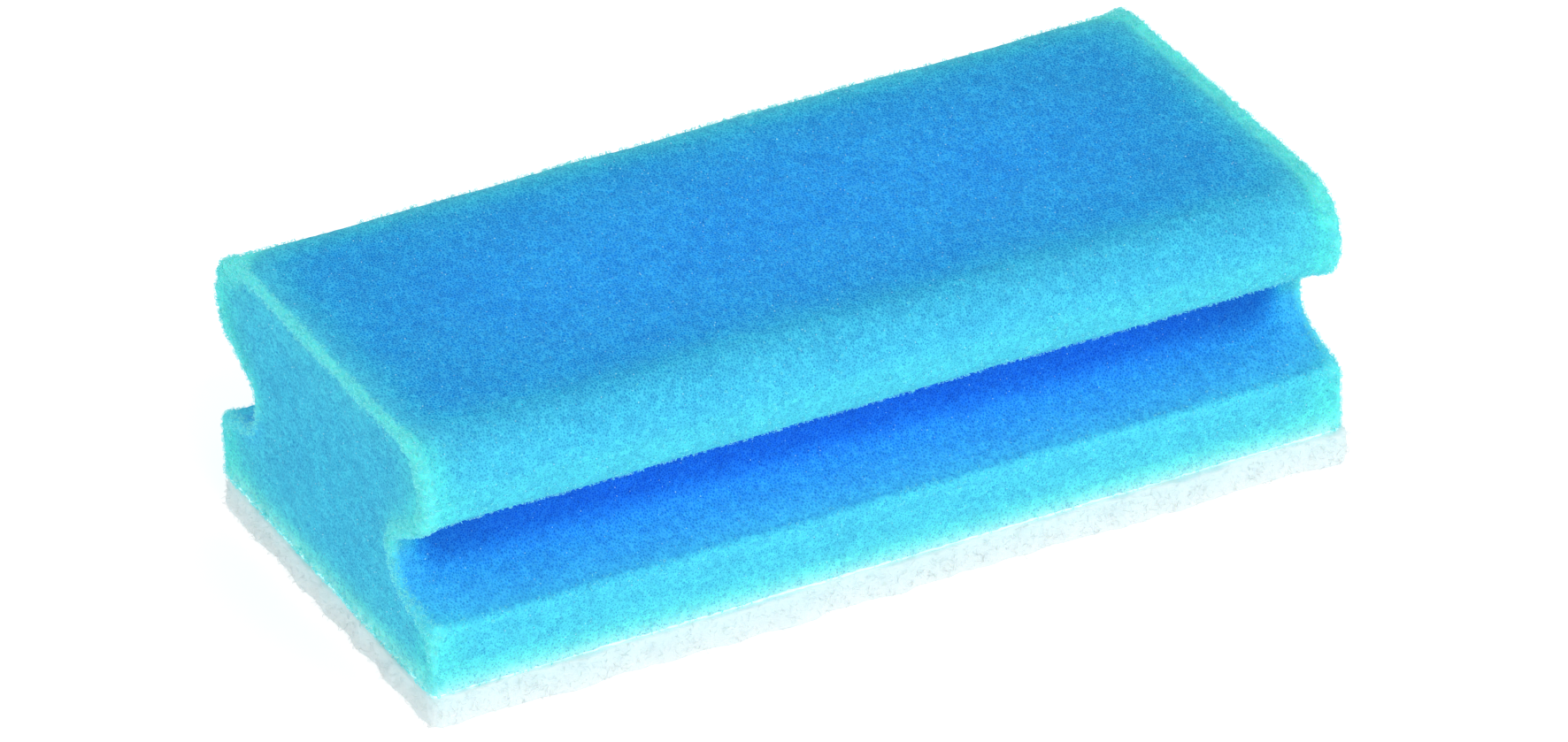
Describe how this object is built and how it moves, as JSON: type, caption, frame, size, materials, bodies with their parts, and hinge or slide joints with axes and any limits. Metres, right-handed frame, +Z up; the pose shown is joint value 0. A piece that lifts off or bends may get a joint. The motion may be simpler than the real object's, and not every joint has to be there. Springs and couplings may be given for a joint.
{
  "type": "scouring sponge",
  "caption": "Hand-held cleaning sponge: waisted open-cell foam body with a finger groove along each long side, bonded to a thin white nonwoven scrub pad.",
  "frame": {"origin": "centre of the scrub pad's working face, at the bottom of the object", "axes": "+X along the sponge's length, +Y across it from one finger groove to the other, +Z up from the pad to the foam's flat top"},
  "size_m": [0.1506, 0.0706, 0.046],
  "materials": {
    "blue_foam": "matte",
    "clear_adhesive": "satin",
    "white_nonwoven": "matte"
  },
  "bodies": {
    "root": {"foam_body": "blue_foam", "bond_film": "clear_adhesive", "scrub_pad": "white_nonwoven"}
  },
  "joints": []
}
